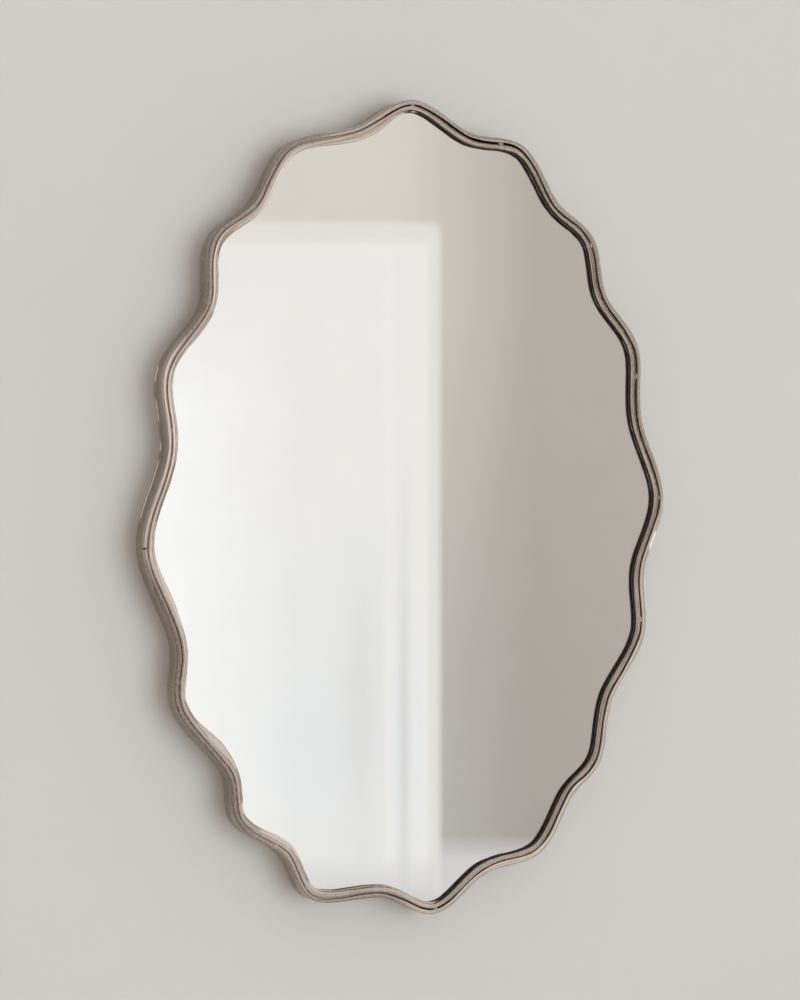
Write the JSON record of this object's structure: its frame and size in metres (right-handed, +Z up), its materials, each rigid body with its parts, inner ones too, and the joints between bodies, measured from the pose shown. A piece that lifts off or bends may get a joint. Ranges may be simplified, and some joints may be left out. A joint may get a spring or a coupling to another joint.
{
  "type": "wavy oval wall mirror",
  "caption": "Wavy upright oval wall mirror with a double-barred metal frame, an open groove between the bars, a backing board and swinging hanging rings.",
  "frame": {"origin": "middle of the whole mirror's box", "axes": "+Z up as it hangs, +X to the viewer's right, -Y out of the glass towards the viewer, +Y to the wall"},
  "size_m": [0.6294, 0.029, 0.9142],
  "materials": {
    "frame_nickel": "warm nickel, hand-worked, softly polished",
    "weld_nickel": "weld beads dressed smooth and plated with the frame",
    "silvered_glass": "clear float glass, silvered behind",
    "foam": "black closed-cell foam tape",
    "fibreboard": "plain medium-density fibreboard",
    "zinc": "bright zinc plate",
    "rubber": "moulded dark grey rubber"
  },
  "bodies": {
    "mirror": {"outer_bar_top_right": "frame_nickel", "inner_bar_top_right": "frame_nickel", "glass_lip_top_right": "frame_nickel", "outer_bar_bottom_right": "frame_nickel", "inner_bar_bottom_right": "frame_nickel", "glass_lip_bottom_right": "frame_nickel", "outer_bar_bottom_left": "frame_nickel", "inner_bar_bottom_left": "frame_nickel", "glass_lip_bottom_left": "frame_nickel", "outer_bar_top_left": "frame_nickel", "inner_bar_top_left": "frame_nickel", "glass_lip_top_left": "frame_nickel", "weld_tie_1": "weld_nickel", "weld_tie_2": "weld_nickel", "weld_tie_3": "weld_nickel", "weld_tie_4": "weld_nickel", "weld_tie_5": "weld_nickel", "weld_tie_6": "weld_nickel", "weld_tie_7": "weld_nickel", "weld_tie_8": "weld_nickel", "weld_tie_9": "weld_nickel", "weld_tie_10": "weld_nickel", "weld_tie_11": "weld_nickel", "joint_tie_top": "weld_nickel", "joint_tie_right": "weld_nickel", "joint_tie_bottom": "weld_nickel", "joint_tie_left": "weld_nickel", "foam_seal": "foam", "mirror_glass": "silvered_glass", "backing_board": "fibreboard", "board_tab_upper_right": "frame_nickel", "tab_screw_upper_right": "zinc", "board_tab_right": "frame_nickel", "tab_screw_right": "zinc", "board_tab_lower_right": "frame_nickel", "tab_screw_lower_right": "zinc", "board_tab_lower_left": "frame_nickel", "tab_screw_lower_left": "zinc", "board_tab_left": "frame_nickel", "tab_screw_left": "zinc", "board_tab_upper_left": "frame_nickel", "tab_screw_upper_left": "zinc", "hanger_strap_left": "zinc", "strap_screw_left_upper": "zinc", "strap_screw_left_lower": "zinc", "hanger_strap_right": "zinc", "strap_screw_right_upper": "zinc", "strap_screw_right_lower": "zinc", "wall_foot_lower_left": "rubber", "wall_foot_lower_right": "rubber", "wall_foot_upper_left": "rubber", "wall_foot_upper_right": "rubber"},
    "ring_left": {"hanging_ring_left": "zinc"},
    "ring_right": {"hanging_ring_right": "zinc"}
  },
  "joints": [
    {"name": "ring_left_swing", "type": "hinge", "parent": "mirror", "child": "ring_left", "pos_m": [-0.14965, 0.00735, 0.24959], "axis": [1, 0, 0], "range_deg": [0, 180]},
    {"name": "ring_right_swing", "type": "hinge", "parent": "mirror", "child": "ring_right", "pos_m": [0.15035, 0.00735, 0.24959], "axis": [1, 0, 0], "range_deg": [0, 180]}
  ]
}
